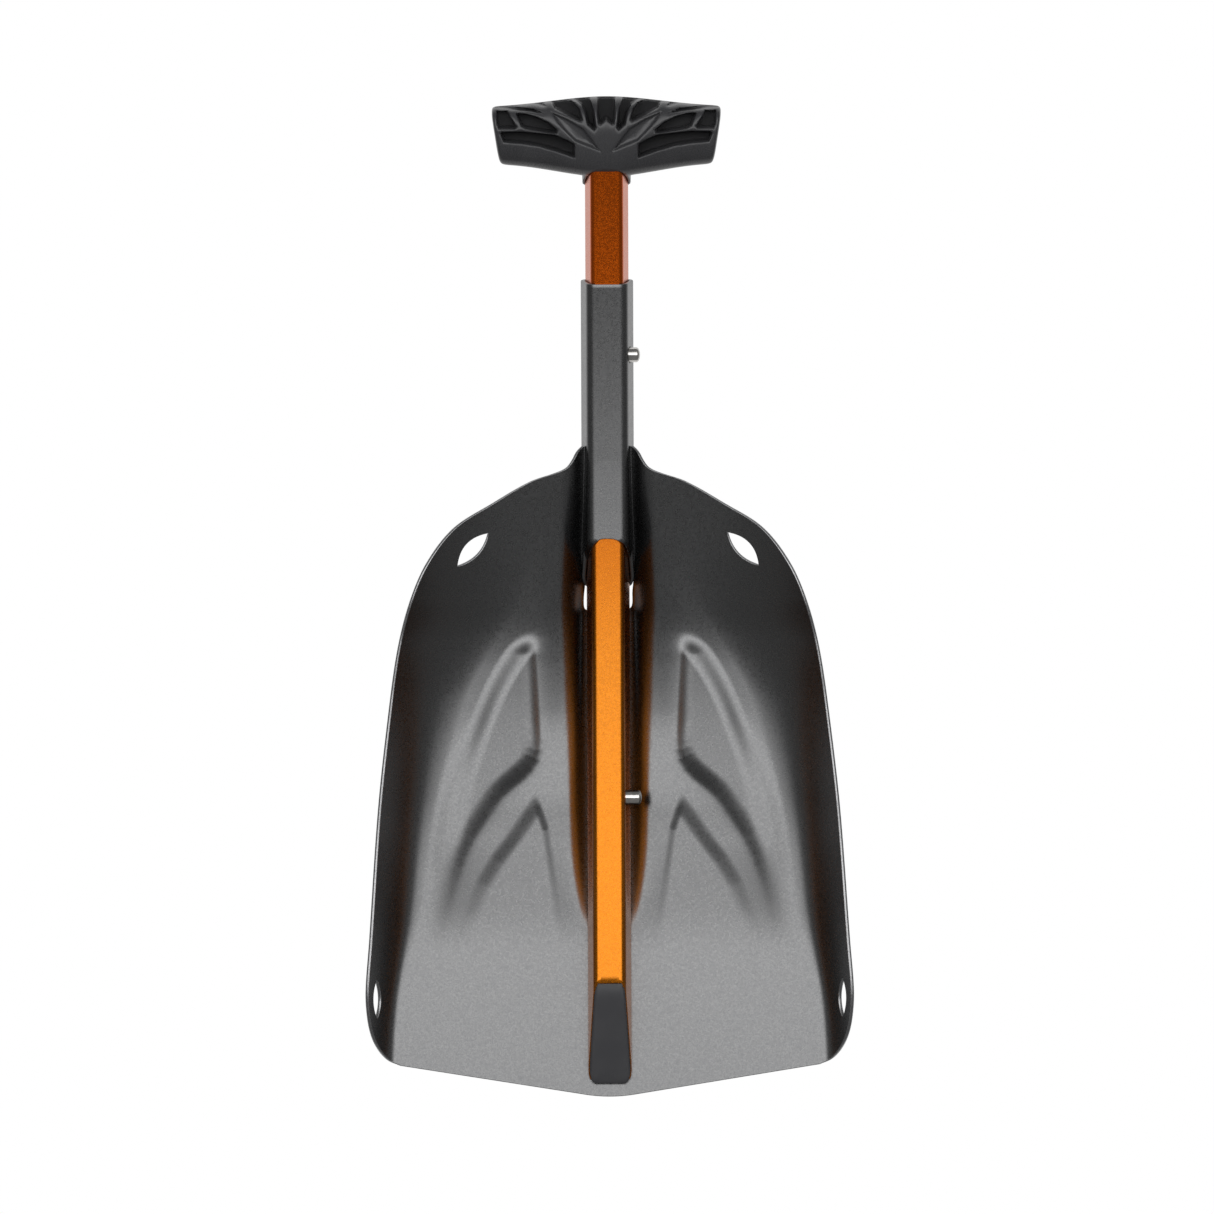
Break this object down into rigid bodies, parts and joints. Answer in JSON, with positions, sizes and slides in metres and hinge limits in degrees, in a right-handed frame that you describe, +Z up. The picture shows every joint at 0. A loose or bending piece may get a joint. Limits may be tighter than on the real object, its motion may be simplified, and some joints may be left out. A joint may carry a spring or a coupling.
{
  "type": "avalanche shovel",
  "caption": "Avalanche shovel: pressed aluminium blade, T-grip on a curved trapezoidal shaft that slides through the neck and latches packed or extended.",
  "frame": {"origin": "middle of the bounding box at the height of the blade's tip", "axes": "+Z up the handle to the T-grip, -Y towards the scooping face, +X to the side of the snap buttons"},
  "size_m": [0.2396, 0.0539, 0.4901],
  "materials": {
    "blade_metal": "bead-blasted charcoal anodised",
    "shaft_metal": "satin orange anodised",
    "cap_plastic": "moulded matte",
    "grip_plastic": "moulded semi-gloss",
    "button_steel": "turned and polished stainless",
    "rivet_metal": "black rivet"
  },
  "bodies": {
    "blade": {"blade": "blade_metal"},
    "shaft": {"shaft_tube": "shaft_metal", "end_cap": "cap_plastic", "end_cap_rivet": "rivet_metal", "grip": "grip_plastic", "grip_rivet": "rivet_metal"},
    "upper_button": {"upper_snap_button": "button_steel"},
    "lower_button": {"lower_snap_button": "button_steel"}
  },
  "joints": [
    {"name": "shaft_extend", "type": "hinge", "parent": "blade", "child": "shaft", "pos_m": [0, -1.2375, 0.235], "axis": [1, 0, 0], "range_deg": [0, 9.99], "deforming": ["upper_snap_button", "lower_snap_button"]},
    {"name": "upper_button_press", "type": "slide", "parent": "shaft", "child": "upper_button", "axis": [-1, 0, 0], "range_m": [0, 0.0077], "stiffness_N_per_m": 600, "springref_m": -0.006, "deforming": ["upper_snap_button"]},
    {"name": "lower_button_press", "type": "slide", "parent": "shaft", "child": "lower_button", "axis": [-1, 0, 0], "range_m": [0, 0.0077], "stiffness_N_per_m": 600, "springref_m": -0.006, "deforming": ["lower_snap_button"]}
  ]
}
